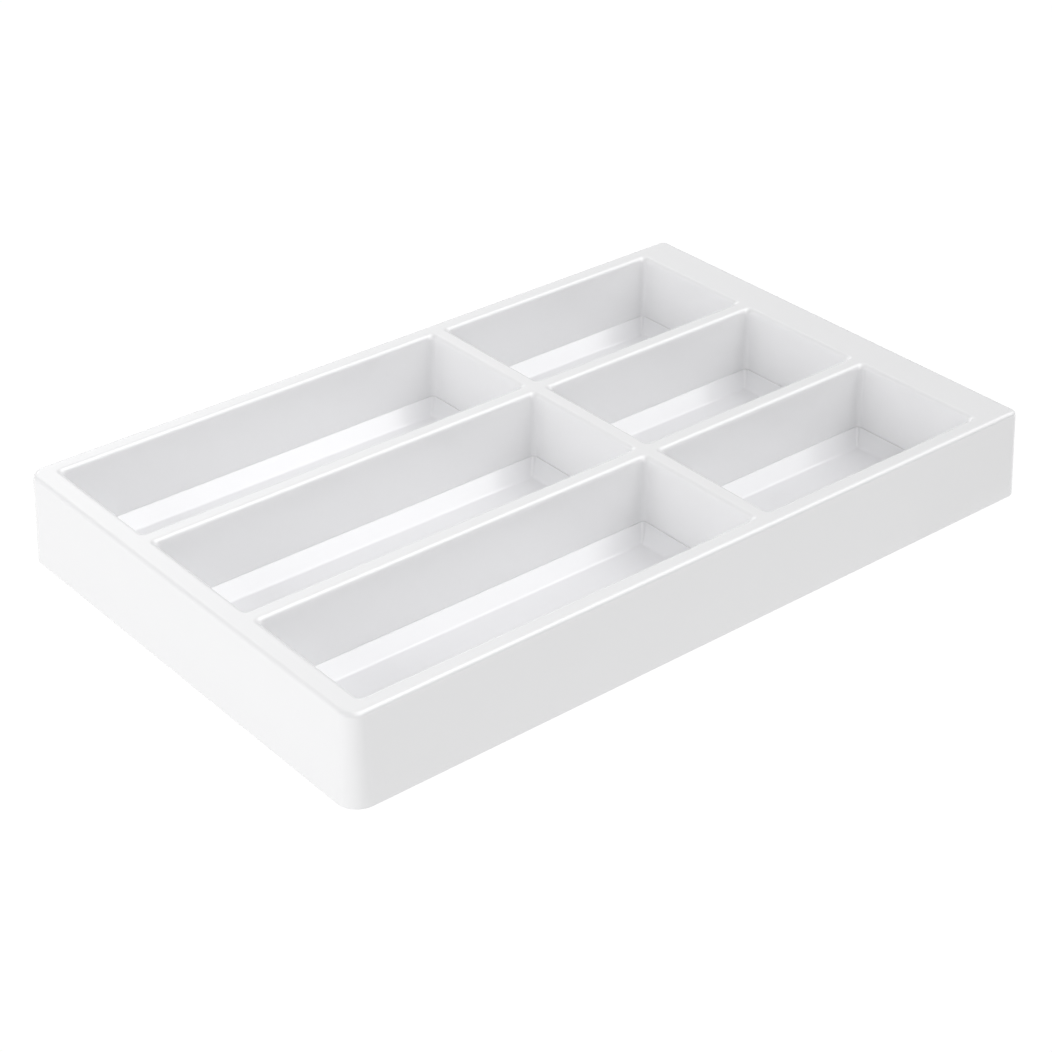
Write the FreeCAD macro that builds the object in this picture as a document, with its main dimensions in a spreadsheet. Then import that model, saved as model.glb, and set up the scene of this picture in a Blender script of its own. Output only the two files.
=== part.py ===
import FreeCAD, Part
import math
import os

import Sketcher

# Cutlery tray for a drawer: one thin-walled moulding with three long pockets at the front and three
# short ones behind them, a lift-out trough liner in every pocket and six soft feet underneath.
# Millimetres and degrees. The origin is the middle of the footprint, on the surface the feet stand on.
# +Y runs from the front edge to the back edge, +X to the right and +Z up.

SIZES = {
    # the rim's outline before its edge is rounded, and its height above the surface
    "rim_width": 304,
    "rim_depth": 473,
    "tray_height": 55,
    "front_corner_radius": 10,
    "back_corner_radius": 4.5,
    "skirt_draft": 3,
    "body_wall": 1.8,
    # flat bands round the pockets and between them
    "front_rim": 14.5,
    "back_rim": 27.5,
    "side_rim": 11.5,
    "long_divider": 11,
    "cross_divider": 11,
    "edge_round": 3,
    # pockets
    "short_pocket_depth": 161,
    "pocket_draft": 2,
    "pocket_corner_radius": 4,
    # liners
    "liner_wall": 1.2,
    "liner_height": 9.2,
    "liner_slope": 45,
    "liner_ledge": 0.8,
    "liner_corner_radius": 2,
    "liner_cove_radius": 3,
    "liner_clearance": 0.3,
    # feet, and the collars that hold them
    "foot_diameter": 18,
    "foot_height": 3.5,
    "foot_drop": 0.4,
    "foot_edge_round": 0.8,
    "foot_inset": 22,
    "foot_clearance": 0.1,
    "collar_wall": 1.2,
    "collar_height": 1.5,
}

# Pocket columns across the tray, in steps from the middle one
COLUMN_STEPS = {"left": -1, "middle": 0, "right": 1}
COLUMN_COUNT = len(COLUMN_STEPS)
DIVIDER_COUNT = COLUMN_COUNT - 1

# Plan of the tray, as expressions on the sheet
COLUMN_WIDTH = (
    f"((sizes.rim_width - 2 * sizes.side_rim - {DIVIDER_COUNT} * sizes.long_divider) / {COLUMN_COUNT})"
)
COLUMN_PITCH = f"({COLUMN_WIDTH} + sizes.long_divider)"
RIM_FRONT = "(-sizes.rim_depth / 2)"
RIM_BACK = "(sizes.rim_depth / 2)"
SHORT_DEPTH = "sizes.short_pocket_depth"
LONG_DEPTH = (
    "(sizes.rim_depth - sizes.front_rim - sizes.back_rim - sizes.cross_divider"
    f" - {SHORT_DEPTH})"
)
LONG_CENTRE = f"({RIM_FRONT} + sizes.front_rim + {LONG_DEPTH} / 2)"
SHORT_CENTRE = f"({RIM_BACK} - sizes.back_rim - {SHORT_DEPTH} / 2)"
ROWS = {"long": (LONG_CENTRE, LONG_DEPTH), "short": (SHORT_CENTRE, SHORT_DEPTH)}

# Heights, and how far the sloping walls run in or out between them
FLOOR_TOP = "(sizes.foot_height + sizes.body_wall)"
ROOF = "(sizes.tray_height - sizes.body_wall)"
SKIRT_FLARE = "((sizes.tray_height - sizes.foot_drop) * tan(sizes.skirt_draft))"
HOLLOW_FLARE = f"({SKIRT_FLARE} - sizes.body_wall)"
ROOF_FLARE = "(sizes.body_wall * tan(sizes.skirt_draft) - sizes.body_wall)"
POCKET_INSET = f"((sizes.tray_height - {FLOOR_TOP}) * tan(sizes.pocket_draft))"
CUP_INSET = "((sizes.tray_height - sizes.foot_height) * tan(sizes.pocket_draft) - sizes.body_wall)"

# Liner: the lip is as high as an even wall on the slope makes it, and it clears the pocket wall there
LIP_HEIGHT = (
    "((sizes.liner_wall / sin(sizes.liner_slope) - sizes.liner_ledge) * tan(sizes.liner_slope))"
)
LIP_FOOT = f"(sizes.liner_height - {LIP_HEIGHT})"
LIP_INSET = (
    f"((sizes.tray_height - {FLOOR_TOP} - {LIP_FOOT}) * tan(sizes.pocket_draft)"
    " + sizes.liner_clearance)"
)
UNDER_RUN = f"({LIP_FOOT} / tan(sizes.liner_slope))"
INNER_RUN = "((sizes.liner_height - sizes.liner_wall) / tan(sizes.liner_slope) + sizes.liner_ledge)"

# Feet: distance from the middle line, and from the rim's front edge
FOOT_SIDE = "(sizes.rim_width / 2 - sizes.side_rim - sizes.foot_inset)"
FOOT_SIDES = {"left": f"(-{FOOT_SIDE})", "right": FOOT_SIDE}
FOOT_ALONG = {
    "front": "(sizes.front_rim + sizes.foot_inset)",
    "middle": f"(sizes.front_rim + {LONG_DEPTH} - sizes.foot_inset)",
    "back": "(sizes.rim_depth - sizes.back_rim - sizes.foot_inset)",
}
FOOT_RADIUS = "(sizes.foot_diameter / 2)"
COLLAR_BORE = f"({FOOT_RADIUS} + sizes.foot_clearance)"
COLLAR_RADII = {"bore": COLLAR_BORE, "rim": f"({COLLAR_BORE} + sizes.collar_wall)"}

# What sketch constraints refer to: a curve's points are numbered upwards from 1, the sketch's own origin
# and Y axis downwards from -1
START, END, CENTRE = range(1, 4)
ORIGIN, Y_AXIS = range(-1, -3, -1)
UP = FreeCAD.Vector(0, 0, 1)
QUARTER_TURN = math.pi / 2


def make_sheet(doc):
    """Put every driving size into one sheet, each cell named by its alias."""
    sheet = doc.addObject("Spreadsheet::Sheet", "sizes")
    for row, (name, value) in enumerate(SIZES.items(), start=1):
        sheet.set(f"A{row}", name)
        sheet.set(f"B{row}", str(value))
        sheet.setAlias(f"B{row}", name)
    doc.recompute()


def origin_part(body, role):
    """The body's own origin plane or axis of that role."""
    return next(part for part in body.Origin.OriginFeatures if part.Role == role)


def level_sketch(body, name, height, centre=("0", "0")):
    """A level sketch of the body, moved to a height and a centre."""
    sketch = body.newObject("Sketcher::SketchObject", name)
    sketch.AttachmentSupport = [(origin_part(body, "XY_Plane"), "")]
    sketch.MapMode = "FlatFace"
    for axis, expression in zip("xyz", (*centre, height)):
        sketch.setExpression(f"AttachmentOffset.Base.{axis}", expression)
    return sketch


def bind(sketch, name, expression, kind, *where):
    """Add a named dimension to the sketch and tie it to the sheet."""
    value = float(sketch.evalExpression(expression))
    index = sketch.addConstraint(Sketcher.Constraint(kind, *where, value))
    sketch.renameConstraint(index, name)
    sketch.setExpression(f"Constraints.{name}", expression)


def rounded_outline(sketch, width, depth, front_radius, back_radius):
    """Draw a rectangle about the sketch's origin, its corners rounded by tangent arcs."""
    half_width, half_depth = f"({width} / 2)", f"({depth} / 2)"
    x, y, front, back = (
        float(sketch.evalExpression(text)) for text in (half_width, half_depth, front_radius, back_radius)
    )
    corners = [
        (front - x, front - y, front),
        (x - front, front - y, front),
        (x - back, y - back, back),
        (back - x, y - back, back),
    ]
    arcs = []
    for turn, (centre_x, centre_y, radius) in enumerate(corners, start=2):
        circle = Part.Circle(FreeCAD.Vector(centre_x, centre_y, 0), UP, radius)
        arcs.append(Part.ArcOfCircle(circle, turn * QUARTER_TURN, (turn + 1) * QUARTER_TURN))
    following = arcs[1:] + arcs[:1]
    sides = [Part.LineSegment(arc.EndPoint, after.StartPoint) for arc, after in zip(arcs, following)]
    arc_ids = sketch.addGeometry(arcs)
    side_ids = sketch.addGeometry(sides)
    for arc, side, after in zip(arc_ids, side_ids, arc_ids[1:] + arc_ids[:1]):
        sketch.addConstraint(Sketcher.Constraint("Tangent", arc, END, side, START))
        sketch.addConstraint(Sketcher.Constraint("Tangent", side, END, after, START))
    front_side, right_side, back_side, left_side = side_ids
    front_left, front_right, back_right, back_left = arc_ids
    sketch.addConstraint(Sketcher.Constraint("Symmetric", front_side, START, front_side, END, Y_AXIS))
    sketch.addConstraint(Sketcher.Constraint("Horizontal", back_side))
    sketch.addConstraint(Sketcher.Constraint("Vertical", left_side))
    sketch.addConstraint(Sketcher.Constraint("Vertical", right_side))
    sketch.addConstraint(Sketcher.Constraint("Equal", front_left, front_right))
    sketch.addConstraint(Sketcher.Constraint("Equal", back_left, back_right))
    bind(sketch, "front_radius", front_radius, "Radius", front_right)
    bind(sketch, "back_radius", back_radius, "Radius", back_right)
    bind(sketch, "half_width", half_width, "DistanceX", ORIGIN, START, right_side, START)
    bind(sketch, "to_front", half_depth, "DistanceY", front_side, START, ORIGIN, START)
    bind(sketch, "to_back", half_depth, "DistanceY", ORIGIN, START, back_side, START)


def circle_at(sketch, name, radius, along):
    """Draw a circle on the sketch's Y axis, at a distance from its origin."""
    centre = FreeCAD.Vector(0, float(sketch.evalExpression(along)), 0)
    circle = sketch.addGeometry(Part.Circle(centre, UP, float(sketch.evalExpression(radius))))
    sketch.addConstraint(Sketcher.Constraint("PointOnObject", circle, CENTRE, Y_AXIS))
    bind(sketch, f"{name}_along", along, "DistanceY", ORIGIN, START, circle, CENTRE)
    bind(sketch, f"{name}_radius", radius, "Radius", circle)


def loft(body, kind, name, first, last):
    """Join two outlines by straight sides, adding or cutting material."""
    feature = body.newObject(f"PartDesign::{kind}Loft", name)
    feature.Profile = first
    feature.Sections = [last]
    feature.Ruled = True
    return feature


def round_edges(body, name, height, radius):
    """Round every edge of the body's level face at a height."""
    body.Document.recompute()
    base = body.Tip
    level = float(body.evalExpression(height))
    boxes = [face.BoundBox for face in base.Shape.Faces]
    misses = [abs(box.ZMin - level) + abs(box.ZMax - level) for box in boxes]
    fillet = body.newObject("PartDesign::Fillet", name)
    fillet.Base = (base, [f"Face{misses.index(min(misses)) + 1}"])
    fillet.setExpression("Radius", radius)
    body.Tip = fillet


def place(body, *expressions):
    """Tie the body's place to the sheet."""
    for axis, expression in zip("xyz", expressions):
        body.setExpression(f"Placement.Base.{axis}", expression)


def tray_body(doc):
    """The moulding: hollow skirt and rim, thin-walled pockets hung in it, collars for the feet."""
    body = doc.addObject("PartDesign::Body", "tray_body")

    def skirt_outline(name, grow, height):
        """The rim's outline grown all round by a distance."""
        sketch = level_sketch(body, name, height)
        width, depth = (f"({size} + 2 * {grow})" for size in ("sizes.rim_width", "sizes.rim_depth"))
        radii = (f"(sizes.{end}_corner_radius + {grow})" for end in ("front", "back"))
        rounded_outline(sketch, width, depth, *radii)
        return sketch

    def pocket_outline(name, row, inset, height):
        """The left pocket's outline in one row, drawn in all round by a distance."""
        centre_y, depth = ROWS[row]
        sketch = level_sketch(body, name, height, centre=(f"(-{COLUMN_PITCH})", centre_y))
        radius = "sizes.pocket_corner_radius"
        rounded_outline(sketch, *(f"({size} - 2 * {inset})" for size in (COLUMN_WIDTH, depth)), radius, radius)
        return sketch

    skirt_foot = skirt_outline("skirt_foot", SKIRT_FLARE, "sizes.foot_drop")
    skirt_top = skirt_outline("skirt_top", "0", "sizes.tray_height")
    loft(body, "Additive", "skirt", skirt_foot, skirt_top)
    hollow_foot = skirt_outline("hollow_foot", HOLLOW_FLARE, "sizes.foot_drop")
    hollow_roof = skirt_outline("hollow_roof", ROOF_FLARE, ROOF)
    loft(body, "Subtractive", "hollow", hollow_foot, hollow_roof)

    cups, pockets = [], []
    for row in ROWS:
        cup_rim = pocket_outline(f"{row}_cup_rim", row, "(-sizes.body_wall)", "sizes.tray_height")
        cup_foot = pocket_outline(f"{row}_cup_foot", row, CUP_INSET, "sizes.foot_height")
        cups.append(loft(body, "Additive", f"{row}_cup", cup_rim, cup_foot))
    for row in ROWS:
        pocket_rim = pocket_outline(f"{row}_pocket_rim", row, "0", "sizes.tray_height")
        pocket_floor = pocket_outline(f"{row}_pocket_floor", row, POCKET_INSET, FLOOR_TOP)
        pockets.append(loft(body, "Subtractive", f"{row}_pocket", pocket_rim, pocket_floor))
    columns = body.newObject("PartDesign::LinearPattern", "columns")
    columns.Originals = cups + pockets
    columns.Direction = (origin_part(body, "X_Axis"), [""])
    columns.Occurrences = COLUMN_COUNT
    columns.setExpression("Length", f"{DIVIDER_COUNT} * {COLUMN_PITCH}")
    body.Tip = columns
    round_edges(body, "rim_edges", "sizes.tray_height", "sizes.edge_round")

    rings = level_sketch(
        body, "collar_rings", "sizes.foot_height - sizes.collar_height", centre=(FOOT_SIDE, RIM_FRONT)
    )
    for spot, along in FOOT_ALONG.items():
        for ring, radius in COLLAR_RADII.items():
            circle_at(rings, f"{spot}_{ring}", radius, along)
    right_collars = body.newObject("PartDesign::Pad", "right_collars")
    right_collars.Profile = rings
    right_collars.setExpression("Length", "sizes.collar_height")
    collars = body.newObject("PartDesign::Mirrored", "collars")
    collars.Originals = [right_collars]
    collars.MirrorPlane = (origin_part(body, "YZ_Plane"), [""])
    body.Tip = collars
    return body


def liner(doc, row, column):
    """A trough of even wall: flat bottom, sloping sides and a narrow lip close to the pocket wall."""
    centre_y, depth = ROWS[row]
    body = doc.addObject("PartDesign::Body", f"{row}_liner_{column}")

    def outline(name, inset, height, radius):
        """The lip's outline, drawn in all round by a distance."""
        sketch = level_sketch(body, f"{body.Name}_{name}", height)
        sides = (f"({size} - 2 * ({LIP_INSET} + {inset}))" for size in (COLUMN_WIDTH, depth))
        rounded_outline(sketch, *sides, radius, radius)
        return sketch

    bottom = outline("bottom", UNDER_RUN, "0", "sizes.liner_corner_radius")
    lip_foot = outline("lip_foot", "0", LIP_FOOT, "sizes.pocket_corner_radius")
    loft(body, "Additive", f"{body.Name}_slopes", bottom, lip_foot)
    lip = body.newObject("PartDesign::Pad", f"{body.Name}_lip")
    lip.Profile = lip_foot
    lip.setExpression("Length", LIP_HEIGHT)
    inner_radius = "(sizes.pocket_corner_radius - sizes.liner_ledge)"
    inner_rim = outline("inner_rim", "sizes.liner_ledge", "sizes.liner_height", inner_radius)
    inner_bottom = outline("inner_bottom", INNER_RUN, "sizes.liner_wall", "sizes.liner_corner_radius")
    body.Tip = loft(body, "Subtractive", f"{body.Name}_trough", inner_rim, inner_bottom)
    round_edges(body, f"{body.Name}_cove", "sizes.liner_wall", "sizes.liner_cove_radius")
    place(body, f"({COLUMN_STEPS[column]} * {COLUMN_PITCH})", centre_y, FLOOR_TOP)
    return body


def foot(doc, spot, side):
    """A soft disc with its lower edge rounded."""
    body = doc.addObject("PartDesign::Body", f"foot_{spot}_{side}")
    sketch = level_sketch(body, f"{body.Name}_disc", "0")
    circle_at(sketch, "disc", FOOT_RADIUS, "0")
    pad = body.newObject("PartDesign::Pad", f"{body.Name}_pad")
    pad.Profile = sketch
    pad.setExpression("Length", "sizes.foot_height")
    round_edges(body, f"{body.Name}_edge", "0", "sizes.foot_edge_round")
    place(body, FOOT_SIDES[side], f"({RIM_FRONT} + {FOOT_ALONG[spot]})", "0")
    return body


def check(doc, bodies):
    """Stop before anything is written if an object failed or a piece isn't one sound solid."""
    for item in doc.Objects:
        if {"Invalid", "Error"} & set(item.State):
            raise RuntimeError(f"{item.Label} failed: {item.State}")
    for body in bodies:
        shape = body.Shape
        if shape.isNull() or not shape.isValid() or len(shape.Solids) != 1:
            raise RuntimeError(f"{body.Label} is not one sound solid")


def main():
    doc = FreeCAD.newDocument("cutlery_tray")
    make_sheet(doc)
    bodies = [tray_body(doc)]
    bodies += [liner(doc, row, column) for row in ROWS for column in COLUMN_STEPS]
    bodies += [foot(doc, spot, side) for spot in FOOT_ALONG for side in FOOT_SIDES]
    doc.recompute()
    check(doc, bodies)
    os.makedirs("parts", exist_ok=True)
    for body in bodies:
        body.Shape.exportStep(f"parts/{body.Label}.step")
        print(f"{body.Label}: {body.Shape.Volume:.0f} mm3")


main()
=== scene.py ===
import math

import bpy
import numpy as np
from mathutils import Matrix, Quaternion, Vector
from mathutils.geometry import delaunay_2d_cdt


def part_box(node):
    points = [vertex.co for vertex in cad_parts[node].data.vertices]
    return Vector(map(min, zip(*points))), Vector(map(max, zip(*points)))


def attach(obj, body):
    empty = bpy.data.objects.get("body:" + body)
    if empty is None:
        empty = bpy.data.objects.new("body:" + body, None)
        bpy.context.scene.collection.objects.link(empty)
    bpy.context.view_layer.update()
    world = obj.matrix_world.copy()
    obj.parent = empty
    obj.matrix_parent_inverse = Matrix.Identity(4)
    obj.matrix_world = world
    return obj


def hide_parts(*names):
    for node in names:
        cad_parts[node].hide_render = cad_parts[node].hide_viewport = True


bl_info = {
    "name": "Cutlery tray",
    "version": (1, 0, 0),
    "blender": (4, 5, 0),
    "location": "3D View > Sidebar > Tray",
    "description": "Builds the finished surfaces of a white drawer tray for cutlery, and a plain studio",
    "category": "Add Mesh",
}

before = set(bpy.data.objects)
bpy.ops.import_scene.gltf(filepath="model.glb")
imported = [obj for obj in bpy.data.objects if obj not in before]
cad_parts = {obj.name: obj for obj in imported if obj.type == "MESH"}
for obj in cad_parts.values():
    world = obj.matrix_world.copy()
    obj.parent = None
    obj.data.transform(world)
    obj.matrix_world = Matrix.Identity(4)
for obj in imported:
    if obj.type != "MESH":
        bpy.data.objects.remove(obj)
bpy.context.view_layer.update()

TRAY_NODE = "tray_body"
LINER_NODES = sorted(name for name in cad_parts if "_liner_" in name)
FOOT_NODES = sorted(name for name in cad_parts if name.startswith("foot_"))

# How finely surfaces are divided: a corner's quarter turn, a straight side, a profile's arc, a full circle
CORNER_STEPS = 12
SIDE_STEPS = 14
ARC_STEPS = 6
CIRCLE_STEPS = 64
# Where ejector pin marks lie along a long and a short cup, as shares of half its depth
LONG_PIN_PLACES = (-0.5, 0, 0.5)
SHORT_PIN_PLACES = (-0.4, 0.4)
# The triangles of a level area are those inside its outlines, worked out in millimetres to this tolerance
FILL_INSIDE = 1
PER_METRE = 1000
FILL_TOLERANCE = 1e-5
# The Mix node's two colours and its mixed colour, whose names its other sockets have too
MIX_FIRST, MIX_SECOND, MIX_RESULT = 6, 7, 2

# The studio's soft lights, matched roughly in test renders and then set by hand: turn from the tray's front
# towards its right and height above the horizon in degrees, brightness at the middle, and narrowness
GLOWS = {
    "front_right": (40, 15, 0.3, 10),
    "front_left": (315, 12, 0.8, 10),
    "left": (250, 24, 1.0, 15),
    "back": (180, 25, 0.8, 10),
    "back_top": (180, 64, 1.1, 10),
    "back_right": (150, 36, 0.65, 10),
    "right_top": (135, 64, 1.3, 10),
    "right": (90, 36, 1.4, 10),
}
# Softboxes that leave no glare on the plastic, as polarised light does: turn, height, power in watts
SOFTBOXES = {
    "front_softbox": (0, 17, 51),
    "left_softbox": (262, 22, 38),
}


def linear(hex_colour):
    """An sRGB hex colour as linear red, green and blue."""
    value = np.array([int(hex_colour[i : i + 2], 16) for i in (1, 3, 5)]) / 255
    return tuple(np.where(value <= 0.04045, value / 12.92, ((value + 0.055) / 1.055) ** 2.4))


def length(name, default, description):
    """A length in metres that a user can change."""
    return bpy.props.FloatProperty(
        name=name,
        description=description,
        default=default,
        min=0,
        precision=5,
        subtype="DISTANCE",
        unit="LENGTH",
    )


def angle(name, degrees, description):
    """An angle that a user can change."""
    return bpy.props.FloatProperty(
        name=name, description=description, default=math.radians(degrees), subtype="ANGLE", unit="ROTATION"
    )


def colour(name, hex_colour, description):
    """A colour that a user can change."""
    return bpy.props.FloatVectorProperty(
        name=name,
        description=description,
        default=linear(hex_colour),
        min=0,
        max=1,
        size=3,
        subtype="COLOR",
    )


def strength(name, default, description):
    """A light's brightness that a user can change."""
    return bpy.props.FloatProperty(name=name, description=description, default=default, min=0)


def camera_length(name, default, description):
    """A length in millimetres inside the camera that a user can change."""
    return bpy.props.FloatProperty(
        name=name, description=description, default=default, min=1, subtype="DISTANCE_CAMERA"
    )


def toward(azimuth, elevation):
    """The direction from the tray to something at that turn from its front and that height."""
    return Vector(
        (
            math.sin(azimuth) * math.cos(elevation),
            -math.cos(azimuth) * math.cos(elevation),
            math.sin(elevation),
        )
    )


class TraySizes(bpy.types.PropertyGroup):
    """Sizes of the tray's moulding that its box doesn't give."""

    skirt_draft: angle("Skirt draft", 3, "How far the skirt leans out towards its foot")
    wall: length("Wall", 0.0018, "Thickness of the moulding")
    front_corner: length("Front corner", 0.010, "Radius of the two front corners at the rim")
    back_corner: length("Back corner", 0.0045, "Radius of the two back corners at the rim")
    edge_round: length("Edge round", 0.003, "Rounding of the rim and of every pocket's top edge")
    foot_edge: length("Foot edge", 0.0005, "Rounding of the skirt's lower edges")
    inner_fillet: length("Inner fillet", 0.001, "Fillets underneath and round the pocket floors")
    pocket_draft: angle("Pocket draft", 2, "How far the pocket walls lean in towards the floor")
    pocket_corner: length("Pocket corner", 0.0035, "Radius of the upright pocket corners")
    level_margin: length("Level margin", 0.0003, "Level strip kept beside each rounded edge")
    collar_wall: length("Collar wall", 0.0012, "Thickness of the collars that hold the feet")
    collar_height: length("Collar height", 0.0015, "How far the collars stand down from the pocket floors")
    collar_round: length("Collar round", 0.0003, "Rounding of the collars' edges")
    foot_clearance: length("Foot clearance", 0.0001, "Gap between a foot and its collar")
    pin_mark: length("Pin mark", 0.004, "Radius of the round marks that ejector pins leave underneath")
    pin_depth: length("Pin depth", 0.0003, "Depth of the ejector pin marks")
    pin_round: length("Pin round", 0.0001, "Rounding of the ejector pin marks' edges")


class LinerSizes(bpy.types.PropertyGroup):
    """Sizes of the trough liners that their boxes don't give."""

    wall: length("Wall", 0.0012, "Thickness of the liner")
    slope: angle("Slope", 45, "Slope of the liner's sides")
    ledge: length("Ledge", 0.0008, "Width of the level top of the lip")
    lip_round: length("Lip round", 0.00003, "Rounding of the lip's edges")
    cove: length("Cove", 0.003, "Radius of the hollow curve between the bottom and the sides")
    mitre_round: length("Mitre round", 0.0008, "Radius inside of the corners where two slopes meet")
    bottom_corner: length("Bottom corner", 0.0025, "Radius of the bottom's corners underneath")
    bottom_edge: length("Bottom edge", 0.001, "Rounding below, between the bottom and the sides")
    clearance: length("Clearance", 0.0003, "Gap between the liner's box and the pocket wall")
    lip_gap: length("Lip gap", 0.00002, "Gap between the lip's thin edge and the pocket wall")


class FootSizes(bpy.types.PropertyGroup):
    """Sizes of the soft feet that their boxes don't give."""

    edge_round: length("Edge round", 0.0008, "Rounding of the lower edge")
    top_round: length("Top round", 0.0003, "Rounding of the upper edge")
    groove_depth: length("Groove depth", 0.0004, "Depth of the ring grooves in the sole")
    groove_width: length("Groove width", 0.0012, "Width of a ring groove")
    groove_round: length("Groove round", 0.00015, "Rounding of the grooves' edges")


class Finishes(bpy.types.PropertyGroup):
    """Colours of the materials."""

    tray: colour("Tray", "#F0F0F1", "White of the moulding")
    liner: colour("Liner", "#F0F0F2", "White of the liners")
    foot: colour("Foot", "#C9CBCC", "Grey of the soft feet")
    floor: colour("Floor", "#7C7C7C", "Grey of the floor sheet where it is not lit")


class StudioSettings(bpy.types.PropertyGroup):
    """Where the camera stands and how bright the studio is."""

    azimuth: angle("Azimuth", 50.93, "Turn of the camera from the tray's front towards its right side")
    elevation: angle("Elevation", 31.24, "Height of the camera above the horizon")
    roll: angle("Roll", -0.4, "Turn of the camera about its line of sight")
    distance: length("Distance", 1.3598, "From the camera to the point that it looks at")
    lens: camera_length("Lens", 84.3, "Focal length")
    sensor: camera_length("Sensor", 36, "Width of the camera's sensor")
    aim: bpy.props.FloatVectorProperty(
        name="Aim",
        description="The point that the camera looks at",
        default=(0.0346, -0.0330, 0.0275),
        size=3,
        subtype="XYZ",
        unit="LENGTH",
    )
    floor_glow: strength("Floor glow", 1.02, "Brightness of the floor in the picture and in reflections")
    floor_half: length("Floor half", 40, "Half the side of the floor")
    bounce_glow: strength("Bounce glow", 0.57, "Light that the floor throws up on the tray")
    bounce_half: length("Bounce half", 4, "Half the side of the sheet that throws light up")
    softbox_distance: length("Softbox distance", 3.0, "From the tray to a softbox")
    softbox_size: length("Softbox size", 2.2, "Diameter of a softbox")


# Surfaces


def rounded_chain(corners, radii):
    """A profile through corner points, with a tangent arc at every inner corner.

    An arc starts before its corner by its radius times the tangent of half the turn, and its direction
    turns evenly from one leg's to the next. Returns the points and the unit direction at each.
    """
    corners = np.asarray(corners, float)
    legs = np.diff(corners, axis=0)
    legs /= np.linalg.norm(legs, axis=1, keepdims=True)
    heading = np.arctan2(legs[:, 1], legs[:, 0])
    turn = (np.diff(heading) + np.pi) % (2 * np.pi) - np.pi
    start = corners[1:-1] - legs[:-1] * (radii * np.tan(np.abs(turn) / 2))[:, None]
    course = heading[:-1, None] + turn[:, None] * np.linspace(0, 1, ARC_STEPS + 1)
    right = np.stack([np.sin(course), -np.cos(course)], axis=-1)
    arcs = start[:, None] + (np.sign(turn) * radii)[:, None, None] * (right - right[:, :1])
    course = np.concatenate([heading[:1], course.ravel(), heading[-1:]])
    points = np.vstack([corners[:1], arcs.reshape(-1, 2), corners[-1:]])
    return points, np.stack([np.cos(course), np.sin(course)], axis=-1)


def rounded_rectangles(half, back_radius, front_radius):
    """Loops round rectangles with rounded corners, from the right side towards the back.

    A corner point is the corner's centre plus its radius times the outward direction, which turns evenly;
    the sides between the corners are divided evenly. half has one row for each loop, half its width and
    half its depth. Returns the loops and the outward direction at each point.
    """
    signs = np.array([(1, 1), (-1, 1), (-1, -1), (1, -1)])
    turn = (np.arange(4)[:, None] + np.linspace(0, 1, CORNER_STEPS + 1)) * np.pi / 2
    outward = np.stack([np.cos(turn), np.sin(turn)], axis=-1)
    radius = np.stack([back_radius, back_radius, front_radius, front_radius], axis=1)[..., None]
    centre = signs * (half[:, None] - radius)
    corners = centre[:, :, None] + radius[..., None] * outward
    begin, end = corners[:, :, -1:], np.roll(corners, -1, axis=1)[:, :, :1]
    sides = begin + (end - begin) * (np.arange(1, SIDE_STEPS) / SIDE_STEPS)[:, None]
    loops = np.concatenate([corners, sides], axis=2)
    level = np.repeat(outward[:, -1:], SIDE_STEPS - 1, axis=1)
    outward = np.concatenate([outward, level], axis=1)
    return loops.reshape(len(half), -1, 2), outward.reshape(-1, 2)


def even_corners(half, grow, radius):
    """Rounded rectangles that grow by these amounts and keep one corner radius."""
    radius = np.full(len(grow), radius)
    return rounded_rectangles(half + grow[:, None], radius, radius)


def circles(radius):
    """Loops round circles of these radii: each point is the radius times an evenly turning direction."""
    turn = np.arange(CIRCLE_STEPS) * 2 * np.pi / CIRCLE_STEPS
    outward = np.stack([np.cos(turn), np.sin(turn)], axis=-1)
    return np.asarray(radius)[:, None, None] * outward, outward


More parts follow.
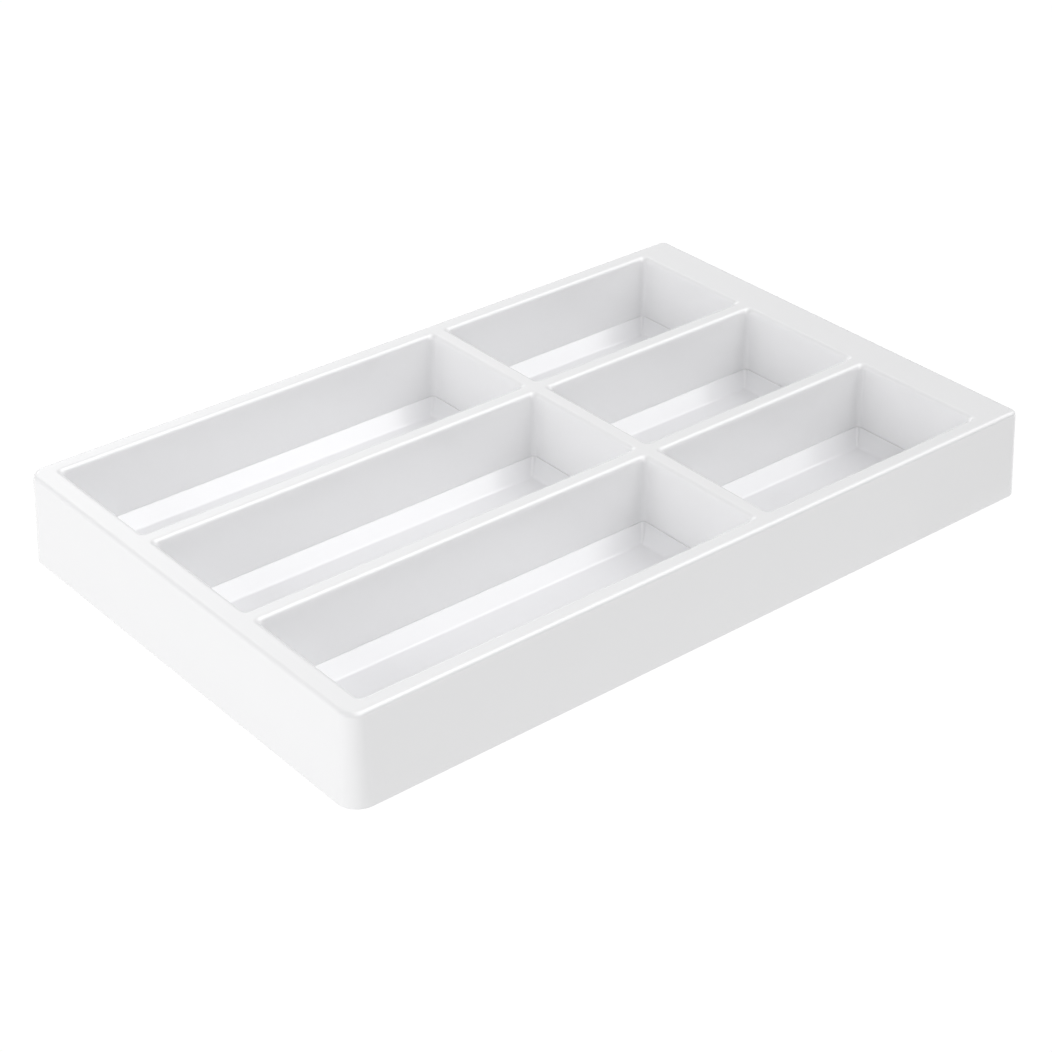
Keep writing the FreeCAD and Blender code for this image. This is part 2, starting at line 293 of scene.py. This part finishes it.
class Skin:
    """A closed surface that grows from bands and level areas, with the normal at every point."""

    def __init__(self):
        self.points = np.empty((0, 3))
        self.normals = np.empty((0, 3))
        self.faces = []

    def band(self, profile, loops, outward, centre=(0, 0), radius_follow=1):
        """A profile carried along loops: row i of the surface is loop i at the profile's height there.

        The profile runs with the solid on its left, so its normal is its direction turned right: outwards
        by its rise, and up by its inward run. At a corner whose radius grows by less than the run, the
        corner's centre moves too, which stretches the run by the share that the radius doesn't follow.
        Returns the point numbers of the first and last loop.
        """
        (_, height), (run, rise) = profile[0].T, profile[1].T
        rows, columns = loops.shape[:2]
        plan = loops + np.asarray(centre)
        points = np.dstack([plan, np.repeat(height[:, None], columns, axis=1)])
        spread = np.abs(outward).sum(axis=1)
        follow = np.broadcast_to(radius_follow, rows)[:, None]
        stretch = (1 - follow) * spread + follow
        normals = np.dstack([rise[:, None, None] * outward, -run[:, None] * stretch])
        normals /= np.linalg.norm(normals, axis=2, keepdims=True)
        number = len(self.points) + np.arange(rows * columns).reshape(rows, columns)
        beside = np.roll(number, -1, axis=1)
        quads = np.stack([number[:-1], beside[:-1], beside[1:], number[1:]], axis=-1)
        self.points = np.vstack([self.points, points.reshape(-1, 3)])
        self.normals = np.vstack([self.normals, normals.reshape(-1, 3)])
        self.faces.append(quads.reshape(-1, 4))
        return number[0], number[-1]

    def level(self, outer, *holes, up=True):
        """Fill the level area inside an outer loop and outside its holes with triangles.

        A triangle whose three points lie on one hole's loop is inside that hole, because holes are convex.
        """
        loops = [outer, *holes]
        counts = [len(loop) for loop in loops]
        number = np.concatenate(loops)
        owner = np.repeat(np.arange(len(loops)), counts)
        ends = np.cumsum(counts)
        following = np.arange(1, len(number) + 1)
        following[ends - 1] = ends - counts
        edges = np.stack([np.arange(len(number)), following], axis=1)
        plan = self.points[number, :2] * PER_METRE
        corners, _, triangles, *_ = delaunay_2d_cdt(
            plan.tolist(), edges.tolist(), [], FILL_INSIDE, FILL_TOLERANCE
        )
        if len(corners) != len(number):
            raise RuntimeError("the loops of a level area touch each other")
        triangles = np.array(triangles)
        owners = owner[triangles]
        in_hole = (owners == owners[:, :1]).all(axis=1) & (owners[:, 0] > 0)
        triangles = number[triangles[~in_hole]]
        self.faces.append(triangles if up else triangles[:, ::-1])

    def piece(self, name, material, node, body, slot):
        """Make the surface an object that stands for a CAD node and rides on its body."""
        sides = [np.stack([block, np.roll(block, -1, axis=1)], axis=-1) for block in self.faces]
        edges = np.concatenate([block.reshape(-1, 2) for block in sides])
        _, uses = np.unique(np.sort(edges, axis=1), axis=0, return_counts=True)
        if (uses != 2).any():
            raise RuntimeError(f"{name} has an open edge")
        mesh = bpy.data.meshes.new(name)
        faces = [face for block in self.faces for face in block.tolist()]
        mesh.from_pydata(self.points.tolist(), [], faces, shade_flat=False)
        mesh.normals_split_custom_set_from_vertices(self.normals.tolist())
        mesh.materials.append(material)
        made = bpy.data.objects.new(name, mesh)
        bpy.context.scene.collection.objects.link(made)
        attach(made, body)
        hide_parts(node)
        return made


# Materials


def add_node(tree, kind, inputs=(), **settings):
    """Add a node, set its properties, and give its inputs values or links."""
    node = tree.nodes.new(kind)
    for name, value in settings.items():
        setattr(node, name, value)
    for name, value in dict(inputs).items():
        if isinstance(value, bpy.types.NodeSocket):
            tree.links.new(value, node.inputs[name])
        else:
            node.inputs[name].default_value = value
    return node


def new_material(name):
    """An empty node material and its tree."""
    material = bpy.data.materials.new(name)
    material.use_nodes = True
    material.node_tree.nodes.clear()
    return material, material.node_tree


def moulded_plastic(name, base, grain, grain_height):
    """White opaque thermoplastic, injection moulded in a polished and lightly blasted tool.

    The pigment makes it evenly matt white below a clear satin skin. Cooling leaves faint cloudy differences
    in gloss and whiteness, a few centimetres wide, and the tool's blasting a fine grain.
    """
    cloud, cloud_tint = 0.045, 0.985
    roughness, roughness_spread = 0.2, 0.12
    # the plastic's own index is about 1.5; a higher one is matched to the gloss of the sloping bands
    index = 2.3
    material, tree = new_material(name)
    place = add_node(tree, "ShaderNodeTexCoord").outputs["Object"]
    clouds = add_node(
        tree, "ShaderNodeTexNoise", {"Vector": place, "Scale": 1 / cloud, "Detail": 3.0, "Roughness": 0.55}
    )
    tint = add_node(
        tree,
        "ShaderNodeMix",
        {
            "Factor": clouds.outputs["Fac"],
            MIX_FIRST: (*(cloud_tint * part for part in base), 1),
            MIX_SECOND: (*base, 1),
        },
        data_type="RGBA",
    )
    gloss = add_node(
        tree,
        "ShaderNodeMapRange",
        {
            "Value": clouds.outputs["Fac"],
            "To Min": roughness * (1 - roughness_spread),
            "To Max": roughness * (1 + roughness_spread),
        },
    )
    # the blasted grain is finer than a pixel, so it is drawn as coarse as it needs to show close up
    pits = add_node(
        tree, "ShaderNodeTexNoise", {"Vector": place, "Scale": 1 / grain, "Detail": 2.0, "Roughness": 0.6}
    )
    relief = add_node(
        tree, "ShaderNodeBump", {"Height": pits.outputs["Fac"], "Strength": 1.0, "Distance": grain_height}
    )
    shader = add_node(
        tree,
        "ShaderNodeBsdfPrincipled",
        {
            "Base Color": tint.outputs[MIX_RESULT],
            "Roughness": gloss.outputs["Result"],
            "IOR": index,
            "Normal": relief.outputs["Normal"],
        },
    )
    add_node(tree, "ShaderNodeOutputMaterial", {"Surface": shader.outputs["BSDF"]})
    return material


def soft_foot_rubber(base):
    """Grey thermoplastic rubber, moulded and matt.

    It has no clear reflection, a grain that scatters light evenly and dust that lightens it in patches.
    """
    grain, grain_height = 0.0006, 0.00005
    dust, dust_tint = 0.006, 0.8
    roughness, index = 0.75, 1.47
    material, tree = new_material("thermoplastic rubber, moulded matt")
    place = add_node(tree, "ShaderNodeTexCoord").outputs["Object"]
    patches = add_node(tree, "ShaderNodeTexNoise", {"Vector": place, "Scale": 1 / dust, "Detail": 4.0})
    tint = add_node(
        tree,
        "ShaderNodeMix",
        {
            "Factor": patches.outputs["Fac"],
            MIX_FIRST: (*(dust_tint * part for part in base), 1),
            MIX_SECOND: (*base, 1),
        },
        data_type="RGBA",
    )
    pits = add_node(tree, "ShaderNodeTexNoise", {"Vector": place, "Scale": 1 / grain, "Detail": 2.0})
    relief = add_node(
        tree, "ShaderNodeBump", {"Height": pits.outputs["Fac"], "Strength": 1.0, "Distance": grain_height}
    )
    shader = add_node(
        tree,
        "ShaderNodeBsdfPrincipled",
        {
            "Base Color": tint.outputs[MIX_RESULT],
            "Roughness": roughness,
            "IOR": index,
            "Normal": relief.outputs["Normal"],
        },
    )
    add_node(tree, "ShaderNodeOutputMaterial", {"Surface": shader.outputs["BSDF"]})
    return material


def lit_sheet(name, base, glow):
    """Opal acrylic sheet, cast matt and lit evenly from below: a plain white ground without shadows."""
    material, tree = new_material(name)
    shader = add_node(
        tree,
        "ShaderNodeBsdfPrincipled",
        {
            "Base Color": (*base, 1),
            "Roughness": 1.0,
            "Specular IOR Level": 0.0,
            "Emission Color": (1, 1, 1, 1),
            "Emission Strength": glow,
        },
    )
    add_node(tree, "ShaderNodeOutputMaterial", {"Surface": shader.outputs["BSDF"]})
    return material


def ground(name, half, material):
    """A level square sheet on the ground, which isn't part of the tray."""
    corners = np.array([(-1, -1, 0), (1, -1, 0), (1, 1, 0), (-1, 1, 0)]) * half
    mesh = bpy.data.meshes.new(name)
    mesh.from_pydata(corners.tolist(), [], [(0, 1, 2, 3)])
    mesh.materials.append(material)
    sheet = bpy.data.objects.new(name, mesh)
    bpy.context.scene.collection.objects.link(sheet)
    return sheet


def soft_studio():
    """White light from broad glows round the tray.

    A glow falls off as the exponential of minus its narrowness times what the cosine of the angle from its
    middle lacks of one, and the glows add up.
    """
    world = bpy.data.worlds.new("studio")
    world.use_nodes = True
    tree = world.node_tree
    tree.nodes.clear()
    view = add_node(tree, "ShaderNodeTexCoord").outputs["Generated"]
    total = 0.0
    for turn, height, brightness, narrowness in GLOWS.values():
        centre = toward(math.radians(turn), math.radians(height))
        cosine = add_node(tree, "ShaderNodeVectorMath", {0: view, 1: centre}, operation="DOT_PRODUCT")
        fall = add_node(
            tree,
            "ShaderNodeMath",
            {0: cosine.outputs["Value"], 1: narrowness, 2: math.log(brightness) - narrowness},
            operation="MULTIPLY_ADD",
        )
        glow = add_node(tree, "ShaderNodeMath", {0: fall.outputs[0]}, operation="EXPONENT")
        total = add_node(tree, "ShaderNodeMath", {0: glow.outputs[0], 1: total}, operation="ADD").outputs[0]
    light = add_node(tree, "ShaderNodeBackground", {"Color": (1, 1, 1, 1), "Strength": total})
    add_node(tree, "ShaderNodeOutputWorld", {"Surface": light.outputs["Background"]})
    return world


# Pieces


def middle(low, high):
    """The plan centre and half the plan size of a box."""
    low, high = np.array(low), np.array(high)
    return (low + high)[:2] / 2, (high - low)[:2] / 2


def lip_height(sizes):
    """Height of a liner's upright lip, as an even wall on the slope makes it."""
    return (sizes.wall / math.sin(sizes.slope) - sizes.ledge) * math.tan(sizes.slope)


def ring(skin, profile, centre):
    """A profile carried along circles, with the inside of its first circle closed from below.

    Returns the last circle.
    """
    first, last = skin.band(profile, *circles(profile[0][:, 0]), centre)
    skin.level(first, up=False)
    return last


def skirt(skin, sizes):
    """The skirt, from the roof of the hollow down the inside, round the foot and up to the rim.

    Its profile is carried along the tray's outline, whose corners keep their centres. Returns the loops on
    the roof and on the rim.
    """
    low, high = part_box(TRAY_NODE)
    centre, half = middle(low, high)
    margin, fillet, edge = sizes.level_margin, sizes.inner_fillet, sizes.edge_round
    top, foot = high.z, low.z
    roof = top - sizes.wall
    lean = math.tan(sizes.skirt_draft)
    flare = (top - foot) * lean
    roof_inset = sizes.wall - sizes.wall * lean
    profile = rounded_chain(
        [
            (-roof_inset - fillet - margin, roof),
            (-roof_inset, roof),
            (flare - sizes.wall, foot),
            (flare, foot),
            (0, top),
            (-edge - margin, top),
        ],
        np.array([fillet, sizes.foot_edge, sizes.foot_edge, edge]),
    )
    grow = profile[0][:, 0]
    rim_half = half - flare
    loops, outward = rounded_rectangles(
        rim_half + grow[:, None], sizes.back_corner + grow, sizes.front_corner + grow
    )
    return skin.band(profile, loops, outward, centre)


def pocket(skin, sizes, centre, half, floor, top):
    """A pocket, from the rim over its edge and down to its floor, with walls that lean in by the draft.

    Its profile is carried along rectangles that keep one corner radius. Returns the loop on the rim.
    """
    margin, fillet, edge = sizes.level_margin, sizes.inner_fillet, sizes.edge_round
    inset = (top - floor) * math.tan(sizes.pocket_draft)
    profile = rounded_chain(
        [(edge + margin, top), (0, top), (-inset, floor), (-inset - fillet - margin, floor)],
        np.array([edge, fillet]),
    )
    loops, outward = even_corners(half, profile[0][:, 0], sizes.pocket_corner)
    rim_hole, floor_edge = skin.band(profile, loops, outward, centre, radius_follow=0)
    skin.level(floor_edge)
    return rim_hole


def cup(skin, sizes, centre, half, under, top):
    """The cup round a pocket underneath, from its bottom out and up to the roof of the hollow.

    It is the pocket's shape made larger by the wall. Returns the loops on its bottom and on the roof.
    """
    margin, fillet = sizes.level_margin, sizes.inner_fillet
    lean = math.tan(sizes.pocket_draft)
    roof = top - sizes.wall
    under_grow = sizes.wall - (top - under) * lean
    roof_grow = sizes.wall - (top - roof) * lean
    profile = rounded_chain(
        [
            (under_grow - fillet - margin, under),
            (under_grow, under),
            (roof_grow, roof),
            (roof_grow + fillet + margin, roof),
        ],
        np.array([fillet, fillet]),
    )
    loops, outward = even_corners(half, profile[0][:, 0], sizes.pocket_corner)
    return skin.band(profile, loops, outward, centre, radius_follow=0)


def collar(skin, sizes, centre, foot_radius, under):
    """A collar that holds a foot: a ring that goes down along the foot, round its tip and up outside.

    Returns the circle where it ends on the cup's bottom.
    """
    margin, curve = sizes.level_margin, sizes.collar_round
    bore = foot_radius + sizes.foot_clearance
    rim = bore + sizes.collar_wall
    tip = under - sizes.collar_height
    profile = rounded_chain(
        [
            (bore - margin, under),
            (bore, under),
            (bore, tip),
            (rim, tip),
            (rim, under),
            (rim + curve + margin, under),
        ],
        np.array([sizes.foot_clearance, curve, curve, curve]),
    )
    return ring(skin, profile, centre)


def pin_mark(skin, sizes, centre, under):
    """The mark of an ejector pin: a ring that goes down from a shallow round hollow to the cup's bottom.

    Returns the circle where it ends there.
    """
    margin, radius, curve = sizes.level_margin, sizes.pin_mark, sizes.pin_round
    hollow = under + sizes.pin_depth
    profile = rounded_chain(
        [
            (radius - curve - margin, hollow),
            (radius, hollow),
            (radius, under),
            (radius + curve + margin, under),
        ],
        np.array([curve, curve]),
    )
    return ring(skin, profile, centre)


def tray_skin(sizes, liner_sizes):
    """The moulding: skirt, rim, pockets and hollow underside.

    A pocket is as much larger than its liner's box as the clearance and the draft above the lip make it.
    Level areas join the skirt and the pockets above, the skirt and the cups on the roof of the hollow, and
    each cup's bottom with its collars and pin marks.
    """
    skin = Skin()
    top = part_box(TRAY_NODE)[1].z
    feet = [middle(*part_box(node)) for node in FOOT_NODES]
    roof_outer, rim_outer = skirt(skin, sizes)
    rim_holes, roof_holes = [], []
    for node in LINER_NODES:
        low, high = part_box(node)
        centre, half = middle(low, high)
        floor = low.z
        under = floor - sizes.wall
        lip_foot = high.z - lip_height(liner_sizes)
        half = half + liner_sizes.clearance + (top - lip_foot) * math.tan(sizes.pocket_draft)
        rim_holes.append(pocket(skin, sizes, centre, half, floor, top))
        bottom, roof_hole = cup(skin, sizes, centre, half, under, top)
        roof_holes.append(roof_hole)
        marks = [
            collar(skin, sizes, foot_centre, foot_half[0], under)
            for foot_centre, foot_half in feet
            if (np.abs(foot_centre - centre) <= half).all()
        ]
        pin_places = LONG_PIN_PLACES if node.startswith("long_") else SHORT_PIN_PLACES
        marks += [pin_mark(skin, sizes, centre + (0, share * half[1]), under) for share in pin_places]
        skin.level(bottom, *marks, up=False)
    skin.level(rim_outer, *rim_holes)
    skin.level(roof_outer, *roof_holes, up=False)
    return skin


def liner_skin(node, sizes, pocket_corner):
    """A trough of even wall: flat bottom, sloping sides and a narrow upright lip.

    One profile, from below over the lip to the inside, is carried along rounded rectangles. Their corner
    radius goes evenly from the pocket's at the lip to a smaller one at the bottom, inside and outside.
    """
    skin = Skin()
    low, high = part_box(node)
    centre, half = middle(low, high)
    half = half + sizes.clearance - sizes.lip_gap
    bottom, top = low.z, high.z
    lip_foot = top - lip_height(sizes)
    steep = math.tan(sizes.slope)
    under_run = (lip_foot - bottom) / steep
    inner_run = (top - bottom - sizes.wall) / steep + sizes.ledge
    profile = rounded_chain(
        [
            (-under_run - 2 * sizes.bottom_edge, bottom),
            (-under_run, bottom),
            (0, lip_foot),
            (0, top),
            (-sizes.ledge, top),
            (-inner_run, bottom + sizes.wall),
            (-inner_run - sizes.cove, bottom + sizes.wall),
        ],
        np.array([sizes.bottom_edge, sizes.lip_round, sizes.lip_round, sizes.lip_round, sizes.cove]),
    )
    grow = profile[0][:, 0]
    # the inside starts halfway through the third arc, which is the lip's upper outer edge
    inside = np.arange(len(grow)) > 1 + 2.5 * (ARC_STEPS + 1)
    lip_inner = pocket_corner - sizes.ledge
    outer_radius = np.interp(-grow, [0, under_run], [pocket_corner, sizes.bottom_corner])
    inner_radius = np.interp(
        -grow, [0, sizes.ledge, inner_run], [pocket_corner, lip_inner, sizes.mitre_round]
    )
    radius = np.where(inside, inner_radius, outer_radius)
    outer_follow = np.where(grow > -under_run, (pocket_corner - sizes.bottom_corner) / under_run, 0)
    inner_follow = np.select(
        [grow > -sizes.ledge, grow > -inner_run],
        [1, (lip_inner - sizes.mitre_round) / (inner_run - sizes.ledge)],
        0,
    )
    follow = np.where(inside, inner_follow, outer_follow)
    loops, outward = rounded_rectangles(half + grow[:, None], radius, radius)
    below, above = skin.band(profile, loops, outward, centre, follow)
    skin.level(below, up=False)
    skin.level(above)
    return skin


def foot_skin(node, sizes):
    """A soft disc with two ring grooves in its sole: its profile carried along circles."""
    skin = Skin()
    low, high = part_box(node)
    centre, half = middle(low, high)
    radius = half[0]
    depth, width = low.z + sizes.groove_depth, sizes.groove_width
    # the level middle and the two grooves, as shares of the radius
    cap, inner_groove, outer_groove = 0.125 * radius, 0.4 * radius, 0.7 * radius
    corners, radii = [(cap, low.z)], []
    for groove in (inner_groove, outer_groove):
        corners += [
            (groove - width / 2, low.z),
            (groove - width / 2 + sizes.groove_depth, depth),
            (groove + width / 2 - sizes.groove_depth, depth),
            (groove + width / 2, low.z),
        ]
        radii += [sizes.groove_round] * 4
    corners += [(radius, low.z), (radius, high.z), (cap, high.z)]
    radii += [sizes.edge_round, sizes.top_round]
    profile = rounded_chain(corners, np.array(radii))
    crown = ring(skin, profile, centre)
    skin.level(crown)
    return skin


class CUTLERYTRAY_OT_tray(bpy.types.Operator):
    """Build the tray's moulding"""

    bl_idname = "cutlerytray.tray"
    bl_label = "Build tray"

    def execute(self, context):
        scene = context.scene
        white = scene.tray_finishes.tray
        name = "white ABS, moulded satin gloss"
        material = moulded_plastic(name, white, grain=0.0008, grain_height=4e-6)
        skin = tray_skin(scene.tray_sizes, scene.liner_sizes)
        skin.piece("tray_moulding", material, TRAY_NODE, "tray", "white_moulding")
        return {"FINISHED"}


class CUTLERYTRAY_OT_liners(bpy.types.Operator):
    """Build the six trough liners"""

    bl_idname = "cutlerytray.liners"
    bl_label = "Build liners"

    def execute(self, context):
        scene = context.scene
        white = scene.tray_finishes.liner
        name = "white polypropylene, moulded satin"
        material = moulded_plastic(name, white, grain=0.0007, grain_height=5e-6)
        for node in LINER_NODES:
            skin = liner_skin(node, scene.liner_sizes, scene.tray_sizes.pocket_corner)
            skin.piece(f"{node}_trough", material, node, node, "white_liner")
        return {"FINISHED"}


class CUTLERYTRAY_OT_feet(bpy.types.Operator):
    """Build the six soft feet"""

    bl_idname = "cutlerytray.feet"
    bl_label = "Build feet"

    def execute(self, context):
        scene = context.scene
        material = soft_foot_rubber(scene.tray_finishes.foot)
        for node in FOOT_NODES:
            foot_skin(node, scene.foot_sizes).piece(f"{node}_pad", material, node, "tray", "soft_foot")
        return {"FINISHED"}


class CUTLERYTRAY_OT_stage(bpy.types.Operator):
    """Build the floor, the lights and the camera"""

    bl_idname = "cutlerytray.stage"
    bl_label = "Build stage"

    def execute(self, context):
        scene = context.scene
        studio = scene.tray_studio
        # the picture and the plastic's reflections show an evenly white floor
        white_sheet = lit_sheet("opal acrylic, cast matt", (0, 0, 0), studio.floor_glow)
        floor = ground("floor", studio.floor_half, white_sheet)
        floor.visible_diffuse = False
        # what it throws up on the tray is less, as if the tray shaded it
        grey = scene.tray_finishes.floor
        shaded_sheet = lit_sheet("opal acrylic, cast matt, shaded", grey, studio.bounce_glow)
        bounce = ground("floor_bounce", studio.bounce_half, shaded_sheet)
        bounce.visible_camera = False
        bounce.visible_glossy = False

        scene.world = soft_studio()

        for name, (turn, height, power) in SOFTBOXES.items():
            light = bpy.data.lights.new(name, "AREA")
            light.shape = "DISK"
            light.size = studio.softbox_size
            light.energy = power
            lamp = bpy.data.objects.new(name, light)
            back = toward(math.radians(turn), math.radians(height))
            lamp.location = back * studio.softbox_distance
            lamp.rotation_mode = "QUATERNION"
            lamp.rotation_quaternion = back.to_track_quat("Z", "Y")
            lamp.visible_camera = False
            lamp.visible_glossy = False
            scene.collection.objects.link(lamp)

        camera = bpy.data.cameras.new("camera")
        camera.lens = studio.lens
        camera.sensor_width = studio.sensor
        viewer = bpy.data.objects.new("camera", camera)
        back = toward(studio.azimuth, studio.elevation)
        viewer.location = Vector(studio.aim) + back * studio.distance
        viewer.rotation_mode = "QUATERNION"
        viewer.rotation_quaternion = back.to_track_quat("Z", "Y") @ Quaternion((0, 0, 1), studio.roll)
        scene.collection.objects.link(viewer)
        scene.camera = viewer
        scene.view_settings.view_transform = "Standard"
        return {"FINISHED"}


class CUTLERYTRAY_PT_panel(bpy.types.Panel):
    """Lists what builds the tray"""

    bl_idname = "CUTLERYTRAY_PT_panel"
    bl_label = "Cutlery tray"
    bl_space_type = "VIEW_3D"
    bl_region_type = "UI"
    bl_category = "Tray"

    def draw(self, context):
        for operator in OPERATORS:
            self.layout.operator(operator.bl_idname)


OPERATORS = (CUTLERYTRAY_OT_tray, CUTLERYTRAY_OT_liners, CUTLERYTRAY_OT_feet, CUTLERYTRAY_OT_stage)
SETTINGS = {
    "tray_sizes": TraySizes,
    "liner_sizes": LinerSizes,
    "foot_sizes": FootSizes,
    "tray_finishes": Finishes,
    "tray_studio": StudioSettings,
}
CLASSES = (*SETTINGS.values(), *OPERATORS, CUTLERYTRAY_PT_panel)


def register():
    """Add the classes and their settings to Blender."""
    for cls in CLASSES:
        bpy.utils.register_class(cls)
    for name, group in SETTINGS.items():
        setattr(bpy.types.Scene, name, bpy.props.PointerProperty(type=group))


def unregister():
    """Take the settings and the classes out again."""
    for name in SETTINGS:
        delattr(bpy.types.Scene, name)
    for cls in reversed(CLASSES):
        bpy.utils.unregister_class(cls)


def main():
    """Build the tray and its stage."""
    register()
    bpy.ops.cutlerytray.tray()
    bpy.ops.cutlerytray.liners()
    bpy.ops.cutlerytray.feet()
    bpy.ops.cutlerytray.stage()


if __name__ == "__main__":
    main()
